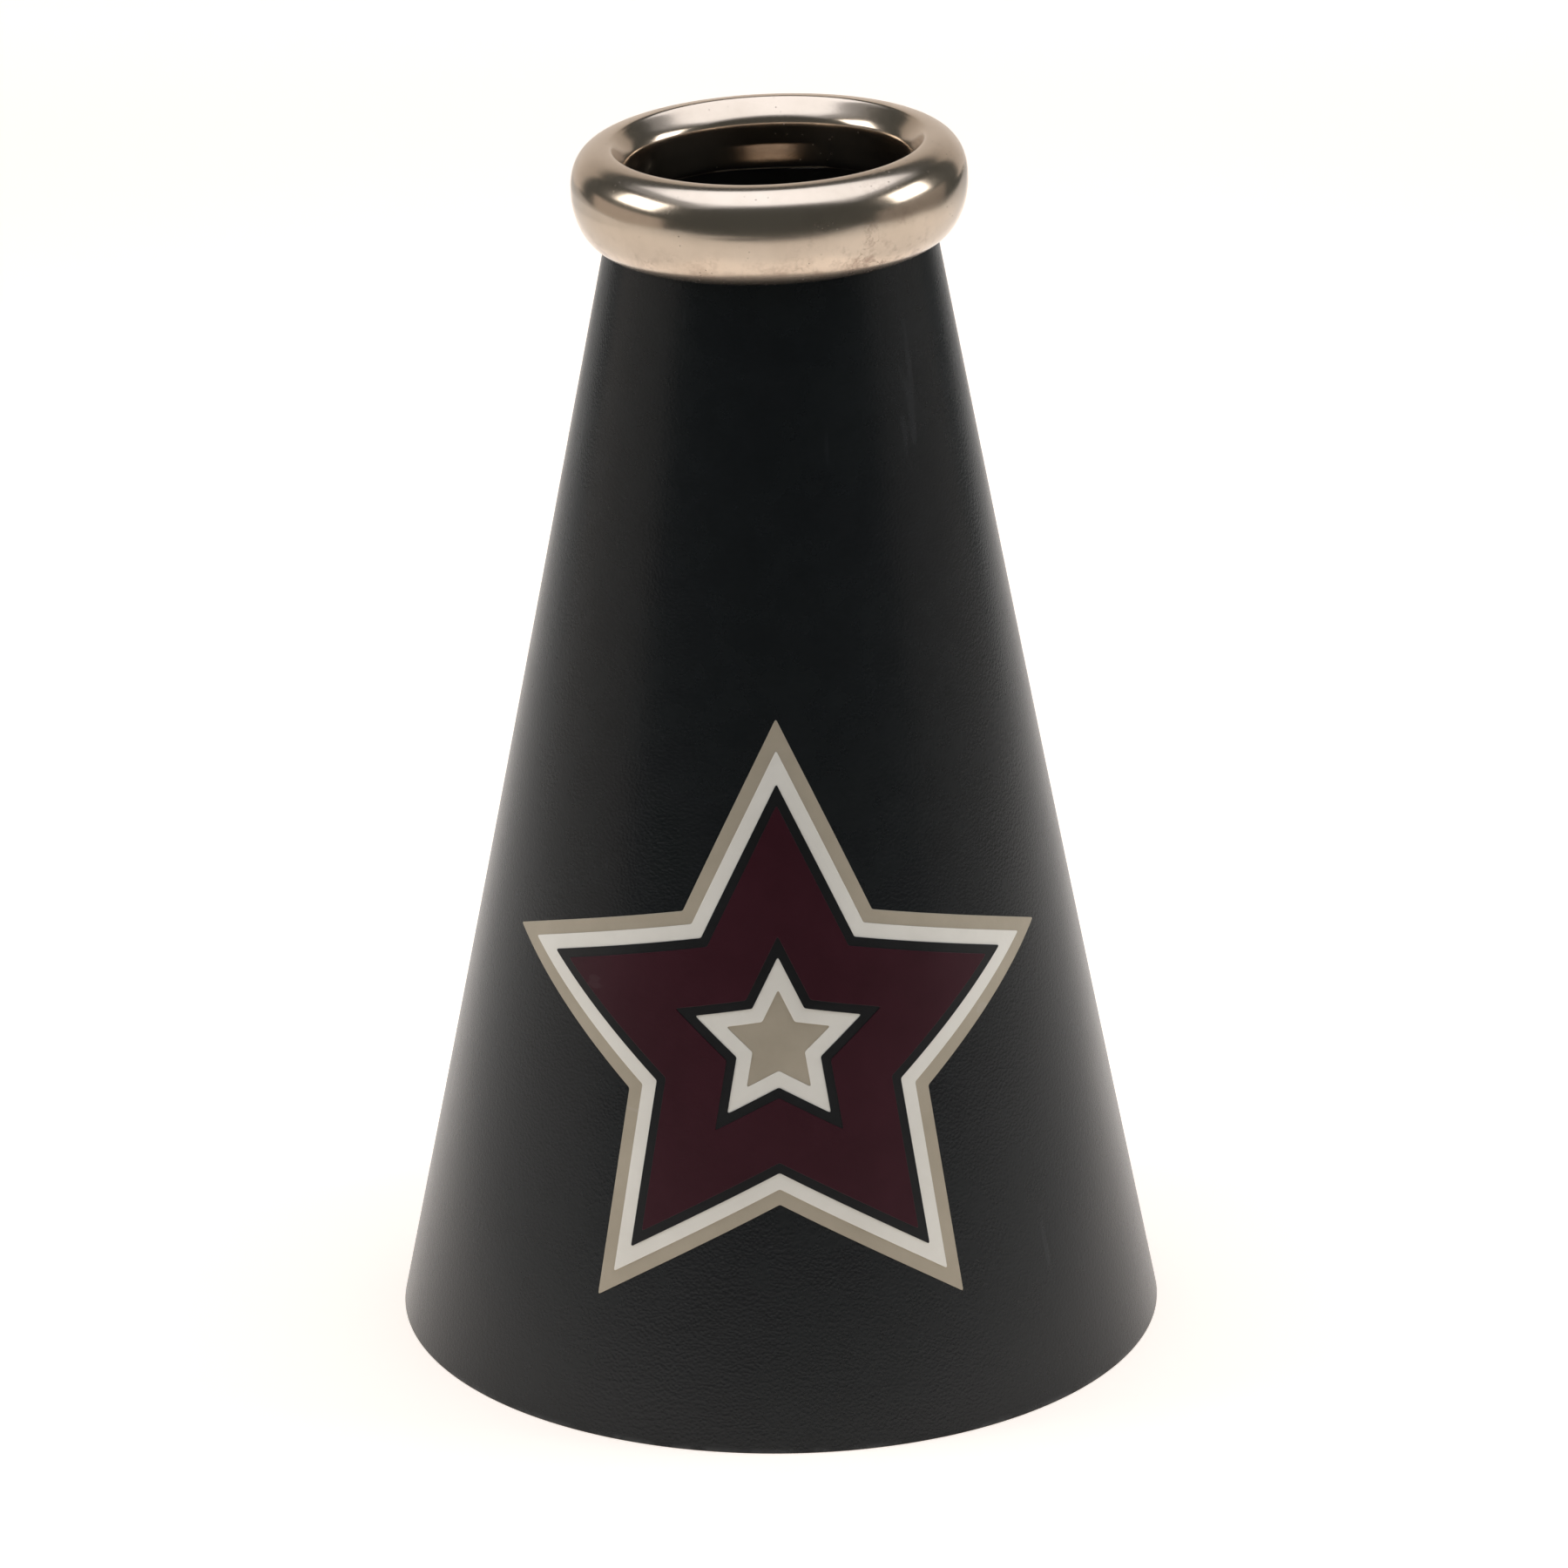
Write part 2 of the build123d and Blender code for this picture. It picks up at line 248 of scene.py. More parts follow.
def glue_mesh():
    """The adhesive between the plies: it has oozed a very little unevenly towards both edges of the lap."""
    phis = span(LAP0 + 0.6, LAP1 - 0.6, 0.8) + [LAP1 - 0.6]
    zs = span(1.5, 146.5, 1.9) + [146.5]
    verts, faces = [], []
    nc = len(phis)
    for z in zs:
        shift = 0.18 * sin(z / 5.3) + 0.12 * sin(z / 2.1 + 1.0)
        for j, phi in enumerate(phis):
            p = phi + shift * (2.0 * j / (nc - 1) - 1.0)
            a = radians(p)
            for r in (outer_r(z) - SHEET_H - 0.004 - wave(p, z), outer_r(z) - STEP_H + 0.004 - wave(p, z)):
                verts.append((r * cos(a), r * sin(a), z))

    def at(i, j, side):
        return (i * nc + j) * 2 + side

    for i in range(len(zs) - 1):
        for j in range(nc - 1):
            faces.append((at(i, j, 0), at(i, j + 1, 0), at(i + 1, j + 1, 0), at(i + 1, j, 0)))
            faces.append((at(i, j, 1), at(i + 1, j, 1), at(i + 1, j + 1, 1), at(i, j + 1, 1)))
        for j in (0, nc - 1):
            faces.append((at(i, j, 0), at(i + 1, j, 0), at(i + 1, j, 1), at(i, j, 1)))
    for j in range(nc - 1):
        for i in (0, len(zs) - 1):
            faces.append((at(i, j, 0), at(i, j, 1), at(i, j + 1, 1), at(i, j + 1, 0)))
    return verts, faces


# ---------------------------------------------------------------- rivets and washers down the seam
def at_seam(z0):
    """Turns (r, h, angle) round the rivet's axis into a point; h stands out from the sheet's outer face."""
    a = radians(90.0)
    normal = Vector((cos(a) * cos(ALPHA), sin(a) * cos(ALPHA), sin(ALPHA)))
    across = Vector((-sin(a), cos(a), 0))
    up = normal.cross(across)
    foot = Vector(((outer_r(z0) - wave(90, z0)) * cos(a), (outer_r(z0) - wave(90, z0)) * sin(a), z0))

    def place(r, h, angle):
        b = radians(angle)
        return tuple(foot + across * (r * cos(b)) + up * (r * sin(b)) + normal * h)

    return place


def capped_lathe(section, turns, place):
    """A section from axis to axis, swept round, with one point at each end."""
    n = len(section) - 2
    verts = [place(0, section[0][1], 0), place(0, section[-1][1], 0)]
    for k in range(turns):
        verts += [place(r, h, 360.0 * k / turns) for r, h in section[1:-1]]
    faces = []
    for k in range(turns):
        a, b = 2 + k * n, 2 + ((k + 1) % turns) * n
        faces.append((0, b, a))
        faces.append((1, a + n - 1, b + n - 1))
        for i in range(n - 1):
            faces.append((a + i, b + i, b + i + 1, a + i + 1))
    return verts, faces


def rivet_section():
    below = -(2 * SHEET_T + GLUE_T) - WASHER_T
    dome = cubic([(0.0, HEAD_H), (HEAD_R * 0.3, HEAD_H * 0.965), (HEAD_R * 0.6, HEAD_H * 0.8), (HEAD_R * 0.86, HEAD_H * 0.47), (HEAD_R - 0.03, 0.2)], 0.12)
    sec = dome + [(HEAD_R, 0.12), (HEAD_R - 0.01, 0.04), (HEAD_R - 0.06, 0.0), (HEAD_R - 0.1, -0.012), (SHANK_R + 0.02, -0.012), (SHANK_R - 0.01, -0.03)]
    sec += [(SHANK_R - 0.01, below - 0.0), (SHANK_R + 0.02, below - 0.012), (TAIL_R - 0.12, below - 0.012), (TAIL_R - 0.03, below - 0.05)]
    roll = [(TAIL_R + 0.0 - TAIL_H * 0.5 * (1 - cos(radians(t))), below - TAIL_H * 0.5 - TAIL_H * 0.5 * sin(radians(t))) for t in range(0, 181, 15)]
    sec += roll
    bore = BORE_R
    sec += [(bore + 0.22, below - TAIL_H * 0.86), (bore + 0.08, below - TAIL_H * 0.66), (bore, below - TAIL_H * 0.4), (bore, below - TAIL_H + 1.5), (bore - 0.15, below - TAIL_H + 1.68), (0.0, below - TAIL_H + 1.7)]
    return sec


def washer_section():
    top = -(2 * SHEET_T + GLUE_T) - 0.004
    low = top - WASHER_T + 0.008
    r = 0.09
    c = [(cos(radians(t)), sin(radians(t))) for t in (0, 22.5, 45, 67.5, 90)]
    inner = SHANK_R + 0.03
    sec = [(inner + r * (1 - x), top - r * (1 - y)) for x, y in c]
    sec += [(WASHER_R - r * (1 - x), top - r * (1 - y)) for x, y in c[::-1]]
    sec += [(WASHER_R - r * (1 - x), low + r * (1 - y)) for x, y in c]
    sec += [(inner + r * (1 - x), low + r * (1 - y)) for x, y in c[::-1]]
    return sec


# ---------------------------------------------------------------- the mouthpiece bead
def bead_section():
    def quarter(t0, t1, out, up, square, n):
        pts = []
        for i in range(n + 1):
            a = radians(t0 + (t1 - t0) * i / n)
            c, s = cos(a), sin(a)
            pts.append((BEAD_R + (1 if c >= 0 else -1) * abs(c) ** (2 / square) * out, BEAD_Z + (1 if s >= 0 else -1) * abs(s) ** (2 / square) * up))
        return pts

    lip = [p for p in quarter(-86, 0, BEAD_OUT, BEAD_DOWN, BEAD_N_LOW, 18) if p[0] > outer_r(p[1]) + 0.06]
    skin = lip[:-1] + quarter(0, 90, BEAD_OUT, BEAD_UP, BEAD_N, 14)
    skin += [(BEAD_R - a, BEAD_Z + BEAD_UP - b) for a, b in SHOULDER]
    skin += [(BEAD_R - BEAD_IN, BEAD_Z), (BEAD_R - BEAD_IN + 0.03, CURL_Z + 0.9)]
    cc = (BEAD_R - BEAD_IN + 0.08 + CURL_R, CURL_Z)
    skin += [(cc[0] - CURL_R * cos(radians(a)), cc[1] - CURL_R * sin(radians(a))) for a in (5, 25, 45, 65, 85)]
    end = outer_r(CURL_Z - CURL_R) - SHEET_H - 0.03
    skin += [(cc[0] + 0.35, cc[1] - CURL_R - 0.02), (end, cc[1] - CURL_R)]
    fine = cubic(skin)
    back = []
    for i, p in enumerate(fine):
        a, b = fine[max(i - 1, 0)], fine[min(i + 1, len(fine) - 1)]
        dx, dz = b[0] - a[0], b[1] - a[1]
        length = hypot(dx, dz)
        back.append((p[0] - BEAD_T * dz / length, p[1] + BEAD_T * dx / length))
    return fine + back[::-1]


def bead_place(r, z, angle):
    """The bead is not quite true: it is a little out of round, and its crest rises and falls by a few hundredths."""
    a = radians(angle)
    up = min(max((z - 149.0) / 10.0, 0.0), 1.0)
    dr = up * (0.035 * sin(2 * a + 0.6) + 0.022 * sin(3 * a - 0.8) + 0.010 * sin(7 * a + 1.3))
    dz = -up * (0.02 + 0.014 * sin(2 * a - 1.0) + 0.006 * sin(5 * a))
    # the throat's wall is pressed in a little towards its foot at the back, where the lap makes the sheet thicker
    off = abs((angle - 90.0 + 180.0) % 360.0 - 180.0)
    side = min(max((29.0 - off) / 25.0, 0.0), 1.0)
    side = side * side * (3 - 2 * side)
    deep = min(max((155.6 - z) / 3.2, 0.0), 1.15)
    if r < BEAD_R:
        r -= 0.62 * side * deep * min(max((20.4 - r) / 1.2, 0.0), 1.0)
    r = min(r + dr, BEAD_R + BEAD_OUT)
    x, y, h = r * cos(a), r * sin(a), min(z + dz, BEAD_Z + BEAD_UP) - BEAD_PIVOT
    t = radians(BEAD_TILT)
    return (x * cos(t) - h * sin(t), y, BEAD_PIVOT + x * sin(t) + h * cos(t))


# ---------------------------------------------------------------- the emblem's films
HALF_TIP = atan2(STAR_WAIST * sin(pi / 5), 1 - STAR_WAIST * cos(pi / 5))


def tip_for(change):
    side = STAR_R * sin(HALF_TIP)
    return STAR_R * (side + change) / side


def lay(u, v, lift):
    """A point of the flat sheet, u right and v up from the star's centre, laid on the cone and lifted off it."""
    rho, theta = hypot(u, SLANT_C - v), atan2(u, SLANT_C - v)
    phi = theta / sin(ALPHA)
    z = APEX_Z - rho * cos(ALPHA)
    r = rho * sin(ALPHA) + lift * cos(ALPHA) - wave(degrees(phi) - 90.0, z)
    z += lift * sin(ALPHA)
    return (r * sin(phi), -r * cos(phi), z)


def star_loop(tip, soften, along):
    """A star's outline with its corners just taken off, as the same number of points whatever its size."""
    corners = [((tip if i % 2 == 0 else tip * STAR_WAIST) * cos(radians(90 + 36 * i)), (tip if i % 2 == 0 else tip * STAR_WAIST) * sin(radians(90 + 36 * i))) for i in range(10)]
    pts = []
    for i in range(10):
        p, c, n = (Vector(corners[(i - 1) % 10]), Vector(corners[i]), Vector(corners[(i + 1) % 10]))
        cut = min(soften * (1.6 if i % 2 == 0 else 1.0), 0.3 * (n - c).length)
        nxt_cut = min(soften * (1.0 if i % 2 == 0 else 1.6), 0.3 * (n - c).length)
        a, b = c + (p - c).normalized() * cut, c + (n - c).normalized() * cut
        for w in (0.0, 0.25, 0.5, 0.75, 1.0):
            pts.append(a * (1 - w) ** 2 + c * (2 * w * (1 - w)) + b * w * w)
        far = n + (c - n).normalized() * nxt_cut
        for k in range(1, along):
            pts.append(b + (far - b) * k / along)
    return [(p.x, p.y) for p in pts]


def film_mesh(level, tip, hole=None, soften=0.26, edge=0.05, along=34, jitter=0.0):
    """A film as a closed skin: a top with rounded edges, a bottom that lies on what is below, and walls."""
    base = level * FILM_T + 0.003
    top = base + FILM_T - 0.004
    width = (tip - (hole or 0.0)) * sin(HALF_TIP)
    near = [edge * k for k in (0.0, 0.1, 0.3, 0.6, 1.0, 1.35, 1.8)]
    if hole:
        dist = near + span(near[-1], width - near[-1], 0.75)[1:] + [width - e for e in near[::-1]]
    else:
        dist = near + span(near[-1], width, 0.9)[1:]
    verts, faces, rings = [], [], {}
    for side in (0, 1):
        for i, e in enumerate(dist):
            size = tip - e / sin(HALF_TIP)
            drop = worn(e, edge)
            if hole:
                drop = max(drop, worn(width - e, edge))
            lift = top - drop if side == 0 else base
            rings[side, i] = []
            for u, v in star_loop(size, soften, along):
                rings[side, i].append(len(verts))
                verts.append(lay(u, v, lift))
    n = len(rings[0, 0])
    for side in (0, 1):
        for i in range(len(dist) - 1):
            a, b = rings[side, i], rings[side, i + 1]
            for k in range(n):
                m = (k + 1) % n
                faces.append((a[k], a[m], b[m], b[k]))
        if not hole:
            centre = len(verts)
            verts.append(lay(0.0, 0.0, top if side == 0 else base))
            a = rings[side, len(dist) - 1]
            for k in range(n):
                faces.append((a[k], a[(k + 1) % n], centre))
    for i in (0, len(dist) - 1) if hole else (0,):
        a, b = rings[0, i], rings[1, i]
        for k in range(n):
            m = (k + 1) % n
            faces.append((a[k], b[k], b[m], a[m]))
    return verts, faces


# ---------------------------------------------------------------- materials
class Nodes:
    """A few short ways to write a node tree."""

    def __init__(self, name):
        self.mat = bpy.data.materials.new(name)
        self.mat.use_nodes = True
        self.tree = self.mat.node_tree
        self.tree.nodes.clear()
        self.out = self.tree.nodes.new("ShaderNodeOutputMaterial")
        self.shader = self.tree.nodes.new("ShaderNodeBsdfPrincipled")
        self.link(self.shader.outputs["BSDF"], self.out.inputs["Surface"])
        self.coord = self.tree.nodes.new("ShaderNodeTexCoord").outputs["Object"]

    def link(self, a, b):
        self.tree.links.new(a, b)

    def feed(self, socket, value):
        if isinstance(value, bpy.types.NodeSocket):
            self.link(value, socket)
        else:
            socket.default_value = value

    def moved(self, scale=(1, 1, 1), turn=(0, 0, 0), shift=(0, 0, 0), source=None):
        m = self.tree.nodes.new("ShaderNodeMapping")
        self.link(source or self.coord, m.inputs["Vector"])
        m.inputs["Scale"].default_value = scale
        m.inputs["Rotation"].default_value = turn
        m.inputs["Location"].default_value = shift
        return m.outputs["Vector"]

    def noise(self, scale, detail=3.0, rough=0.55, distort=0.0, vector=None):
        n = self.tree.nodes.new("ShaderNodeTexNoise")
        self.link(vector or self.coord, n.inputs["Vector"])
        n.inputs["Scale"].default_value = scale
        n.inputs["Detail"].default_value = detail
        n.inputs["Roughness"].default_value = rough
        n.inputs["Distortion"].default_value = distort
        return n.outputs["Fac"]

    def warped(self, scale, amount):
        """The object's coordinates pushed about by a noise, for anything that should not be regular."""
        n = self.tree.nodes.new("ShaderNodeTexNoise")
        self.link(self.coord, n.inputs["Vector"])
        n.inputs["Scale"].default_value = scale
        n.inputs["Detail"].default_value = 2.0
        add = self.tree.nodes.new("ShaderNodeVectorMath")
        add.operation = "MULTIPLY_ADD"
        self.link(n.outputs["Color"], add.inputs[0])
        add.inputs[1].default_value = (amount, amount, amount)
        self.link(self.coord, add.inputs[2])
        return add.outputs["Vector"]

    def cells(self, scale, feature="F1", vector=None, spread=1.0, smooth=None):
        n = self.tree.nodes.new("ShaderNodeTexVoronoi")
        n.feature = feature
        self.link(vector or self.coord, n.inputs["Vector"])
        n.inputs["Scale"].default_value = scale
        n.inputs["Randomness"].default_value = spread
        if smooth is not None:
            n.inputs["Smoothness"].default_value = smooth
        return n.outputs["Distance"]

    def ramp(self, fac, *stops, ease="LINEAR"):
        n = self.tree.nodes.new("ShaderNodeValToRGB")
        n.color_ramp.interpolation = ease
        while len(n.color_ramp.elements) < len(stops):
            n.color_ramp.elements.new(0.5)
        for element, (at, value) in zip(n.color_ramp.elements, stops):
            element.position = at
            c = (value, value, value, 1) if isinstance(value, (int, float)) else (*value, 1)
            element.color = c
        self.link(fac, n.inputs["Fac"])
        return n.outputs["Color"]

    def band(self, value, a, b, lo=0.0, hi=1.0, smooth=True):
        n = self.tree.nodes.new("ShaderNodeMapRange")
        n.interpolation_type = "SMOOTHSTEP" if smooth else "LINEAR"
        self.feed(n.inputs["Value"], value)
        n.inputs["From Min"].default_value = a
        n.inputs["From Max"].default_value = b
        n.inputs["To Min"].default_value = lo
        n.inputs["To Max"].default_value = hi
        return n.outputs["Result"]

    def math(self, op, a, b=None, c=None):
        n = self.tree.nodes.new("ShaderNodeMath")
        n.operation = op
        for socket, value in zip(n.inputs, (a, b, c)):
            if value is not None:
                self.feed(socket, value)
        return n.outputs["Value"]

    def mix(self, fac, a, b, kind="MIX"):
        n = self.tree.nodes.new("ShaderNodeMix")
        n.data_type = "RGBA"
        n.blend_type = kind
        self.feed(n.inputs["Factor"], fac)
        for socket, value in ((n.inputs[6], a), (n.inputs[7], b)):
            if isinstance(value, tuple):
                value = (*value, 1)
            self.feed(socket, value)
        return n.outputs[2]

    def part(self, axis, source=None):
        n = self.tree.nodes.new("ShaderNodeSeparateXYZ")
        self.link(source or self.coord, n.inputs["Vector"])
        return n.outputs[axis]

    def away(self, point, source=None):
        """Distance from a point of the object, in metres."""
        n = self.tree.nodes.new("ShaderNodeVectorMath")
        n.operation = "DISTANCE"
        self.link(source or self.coord, n.inputs[0])
        n.inputs[1].default_value = point
        return n.outputs["Value"]

    def facing_out(self):
        """Above nought on a face that looks away from the object's foot, below nought on one that looks back at it."""
        n = self.tree.nodes.new("ShaderNodeVectorMath")
        n.operation = "DOT_PRODUCT"
        self.link(self.coord.node.outputs["Normal"], n.inputs[0])
        self.link(self.coord, n.inputs[1])
        return n.outputs["Value"]

    def bump(self, height, distance, strength=1.0, under=None):
        n = self.tree.nodes.new("ShaderNodeBump")
        self.feed(n.inputs["Height"], height)
        n.inputs["Distance"].default_value = distance
        n.inputs["Strength"].default_value = strength
        if under is not None:
            self.link(under, n.inputs["Normal"])
        return n.outputs["Normal"]

    def set(self, **values):
        names = {"color": "Base Color", "rough": "Roughness", "metal": "Metallic", "normal": "Normal", "ior": "IOR", "spec": "Specular IOR Level", "coat": "Coat Weight", "coat_rough": "Coat Roughness", "coat_normal": "Coat Normal", "aniso": "Anisotropic", "tangent": "Tangent", "clear": "Transmission Weight", "scatter": "Subsurface Weight"}
        for key, value in values.items():
            if isinstance(value, tuple):
                value = (*value, 1)
            self.feed(self.shader.inputs[names[key]], value)
        return self.mat


def black_sheet():
    """Black polyethylene sheet with a fine, shallow leather grain, a little paler in patches at the bell's rim."""
    m = Nodes("black_sheet_looks")
    squirm = m.warped(900, 0.00045)
    worms = m.cells(2350, "SMOOTH_F1", squirm, smooth=0.35)
    fine = m.noise(5200, 2.0, 0.6, vector=squirm)
    grain = m.math("MULTIPLY_ADD", fine, 0.45, worms)
    broad = m.noise(38, 3.0, 0.6)
    patch = m.noise(210, 4.0, 0.65)
    hair = m.noise(260, 2.0, 0.5, vector=m.moved(scale=(1.0, 1.0, 0.035), turn=(0.12, 0.3, 0.7)))
    hair_mask = m.band(hair, 0.71, 0.76)
    # the rim: the bottom half millimetre is paler, in patches
    z = m.part("Z")
    pale_rim = m.math("MULTIPLY", m.band(z, 0.0009, 0.0001), m.band(patch, 0.42, 0.62))
    tone = m.ramp(patch, (0.3, (0.0052, 0.0068, 0.0076)), (0.7, (0.0074, 0.0092, 0.0102)))
    tone = m.mix(pale_rim, tone, (0.038, 0.040, 0.041))
    tone = m.mix(m.math("MULTIPLY", hair_mask, 0.5), tone, (0.022, 0.024, 0.026))
    rough = m.math("MULTIPLY_ADD", broad, 0.08, 0.205)
    rough = m.math("MULTIPLY_ADD", patch, 0.05, rough)
    # the face that is rolled inwards is the sheet's dull back, never polished, so it is made rougher; its paler colour
    # is painted light, standing in for the light seen inside the cone
    inside = m.band(m.facing_out(), -0.002, -0.008)
    tone = m.mix(inside, tone, m.ramp(patch, (0.3, (0.026, 0.028, 0.028)), (0.7, (0.040, 0.043, 0.043))))
    rough = m.math("MULTIPLY_ADD", inside, 0.30, rough)
    normal = m.bump(grain, 0.00004, 0.34)
    normal = m.bump(hair_mask, 0.00001, 0.3, normal)
    return m.set(color=tone, rough=rough, normal=normal, ior=1.52, spec=0.31)


def nickel():
    """Nickel plate over pressed steel: bright, faintly satin, with brown tarnish, freckles and rubbing marks."""
    m = Nodes("nickel_plate_looks")
    cloud = m.noise(95, 4.0, 0.6)
    fine = m.noise(1500, 3.0, 0.6)
    # lines left by the spinning and by cloths run round the bead, so they are long level streaks
    streak = m.noise(900, 3.0, 0.55, vector=m.moved(scale=(0.06, 0.06, 1.0)))
    dots = m.cells(1150, "F1", m.warped(700, 0.0003))
    many = m.noise(170, 3.0, 0.6, vector=m.moved(shift=(0.3, 0.7, 0.1)))
    freckle = m.math("MULTIPLY", m.band(dots, 0.17, 0.07), m.band(many, 0.51, 0.66))
    # brown tarnish sits low on the bead, most of it on the right of the front
    z = m.part("Z")
    low = m.band(z, 0.1552, 0.1503)
    home = m.band(m.away((0.0125, -0.0205, 0.1515)), 0.0150, 0.0035)
    spots = m.noise(620, 5.0, 0.68, vector=m.moved(shift=(0.11, 0.02, 0.37)))
    broad = m.noise(210, 2.0, 0.5, vector=m.moved(shift=(0.31, 0.22, 0.17)))
    spots = m.math("MULTIPLY_ADD", broad, 0.5, m.math("MULTIPLY", spots, 0.6))
    veins = m.math("ABSOLUTE", m.math("SUBTRACT", m.noise(300, 4.0, 0.62, vector=m.warped(420, 0.0012)), 0.5))
    veins = m.math("MULTIPLY", m.band(veins, 0.022, 0.004), m.band(broad, 0.46, 0.60))
    spots = m.math("MAXIMUM", m.math("MULTIPLY", m.band(spots, 0.52, 0.74), 0.9), m.math("MULTIPLY", veins, 0.80))
    stain = m.math("MULTIPLY", spots, m.math("MULTIPLY_ADD", home, 0.50, m.math("MULTIPLY", low, 0.38)))
    tone = m.ramp(cloud, (0.32, (0.580, 0.474, 0.372)), (0.68, (0.655, 0.542, 0.432)))
    tone = m.mix(stain, tone, (0.300, 0.205, 0.155))
    tone = m.mix(m.math("MULTIPLY", freckle, 0.6), tone, (0.22, 0.17, 0.13))
    rough = m.math("MULTIPLY_ADD", streak, 0.05, 0.125)
    rough = m.math("MULTIPLY_ADD", fine, 0.07, rough)
    rough = m.math("MULTIPLY_ADD", stain, 0.12, rough)
    rough = m.math("MULTIPLY_ADD", freckle, 0.2, rough)
    scratch = m.noise(420, 2.0, 0.5, vector=m.moved(scale=(0.05, 0.9, 1.4), turn=(0.2, 0.5, 1.1)))
    nick = m.band(scratch, 0.715, 0.75)
    normal = m.bump(streak, 0.0000022, 0.6)
    normal = m.bump(m.noise(4200, 2.0, 0.6), 0.0000035, 0.5, normal)
    normal = m.bump(m.noise(240, 2.0, 0.5), 0.00002, 0.35, normal)
    normal = m.bump(freckle, 0.000015, -0.5, normal)
    normal = m.bump(nick, 0.000006, -0.5, normal)
    return m.set(color=tone, rough=rough, normal=normal, metal=1.0)


def film(name, dark, pale, rough_at, shine=0.5, scuff=(0.5, 0.5, 0.5)):
    """Calendered self-adhesive vinyl. The sheet's grain prints through it faintly, and it carries light scuffs."""
    m = Nodes(name)
    squirm = m.warped(900, 0.00045)
    worms = m.cells(2350, "SMOOTH_F1", squirm, smooth=0.35)
    peel = m.noise(620, 2.0, 0.5)
    cloud = m.noise(120, 4.0, 0.65)
    hair = m.noise(300, 2.0, 0.5, vector=m.moved(scale=(0.045, 1.0, 1.0), turn=(0.4, 0.9, 0.2)))
    mark = m.math("MULTIPLY", m.band(hair, 0.70, 0.74), 0.3)
    tone = m.ramp(cloud, (0.3, dark), (0.7, pale))
    tone = m.mix(mark, tone, scuff)
    rough = m.math("MULTIPLY_ADD", cloud, 0.12, rough_at)
    rough = m.math("MULTIPLY_ADD", mark, 0.3, rough)
    normal = m.bump(worms, 0.000012, 0.45)
    normal = m.bump(peel, 0.00002, 0.35, normal)
    return m.set(color=tone, rough=rough, normal=normal, spec=shine)


def plain_metal(name, dark, pale, rough_at):
    """Drawn and tumbled metal for the rivets and their washers."""
    m = Nodes(name)
    cloud = m.noise(900, 4.0, 0.65)
    fine = m.noise(5200, 3.0, 0.6)
    pits = m.band(m.cells(2600, "F1", m.warped(1500, 0.0002)), 0.16, 0.05)
    tone = m.ramp(cloud, (0.3, dark), (0.7, pale))
    tone = m.mix(m.math("MULTIPLY", pits, 0.4), tone, (0.10, 0.09, 0.08))
    rough = m.math("MULTIPLY_ADD", cloud, 0.14, rough_at)
    normal = m.bump(fine, 0.000012, 0.5)
    normal = m.bump(pits, 0.00002, -0.5, normal)
    return m.set(color=tone, rough=rough, normal=normal, metal=1.0)


def adhesive():
    """Amber contact adhesive, dried with a skin."""
    m = Nodes("adhesive_looks")
    cloud = m.noise(700, 4.0, 0.6)
    tone = m.ramp(cloud, (0.3, (0.21, 0.13, 0.055)), (0.7, (0.36, 0.25, 0.12)))
    return m.set(color=tone, rough=m.math("MULTIPLY_ADD", cloud, 0.25, 0.35), normal=m.bump(cloud, 0.0002, 0.6))


SHEET = black_sheet()
NICKEL = nickel()
TAN = film("tan_film_looks", (0.415, 0.357, 0.268), (0.475, 0.410, 0.312), 0.36, 0.36, scuff=(0.52, 0.47, 0.40))
WHITE = film("white_film_looks", (0.840, 0.802, 0.718), (0.900, 0.862, 0.778), 0.36, 0.36, scuff=(0.62, 0.58, 0.52))
BLACK = film("black_film_looks", (0.0052, 0.0054, 0.0060), (0.0075, 0.0078, 0.0088), 0.26, 0.34, scuff=(0.03, 0.03, 0.03))
MAROON = film("maroon_film_looks", (0.0330, 0.0040, 0.0092), (0.0410, 0.0052, 0.0118), 0.28, 0.25, scuff=(0.07, 0.035, 0.04))
RIVET = plain_metal("rivet_metal_looks", (0.62, 0.60, 0.57), (0.75, 0.73, 0.70), 0.2)
WASHER = plain_metal("washer_metal_looks", (0.50, 0.49, 0.47), (0.62, 0.61, 0.59), 0.28)
GLUE = adhesive()

# ---------------------------------------------------------------- the pieces
show(build("cone_body", *cone_mesh(), SHEET), "black_sheet", "cone_shell")
show(build("seam_glue", *glue_mesh(), GLUE), "adhesive", "seam_adhesive")
show(build("rivets", *joined([capped_lathe(rivet_section(), 72, at_seam(z)) for z in RIVET_Z]), RIVET), "rivet_metal", "seam_rivets")
show(build("rivet_washers", *joined([lathe(washer_section(), 72, at_seam(z)) for z in RIVET_Z]), WASHER), "washer_metal", "seam_rivet_washers")
show(build("mouthpiece_bead", *lathe(bead_section(), 420, bead_place), NICKEL), "nickel_plate", "mouthpiece_ring")
EDGES = BLACK_EDGE + WHITE_EDGE
show(build("star_tan", *film_mesh(0, tip_for(EDGES + TAN_EDGE)), TAN), "tan_film", "emblem_tan_film")
show(build("star_white", *film_mesh(1, tip_for(EDGES), tip_for(-STROKE - EDGES)), WHITE), "white_film", "emblem_white_film")
show(build("star_black", *film_mesh(2, tip_for(BLACK_EDGE), tip_for(-STROKE - BLACK_EDGE)), BLACK), "black_film", "emblem_black_film")
show(build("star_maroon", *film_mesh(3, STAR_R, tip_for(-STROKE)), MAROON), "maroon_film", "emblem_maroon_film")


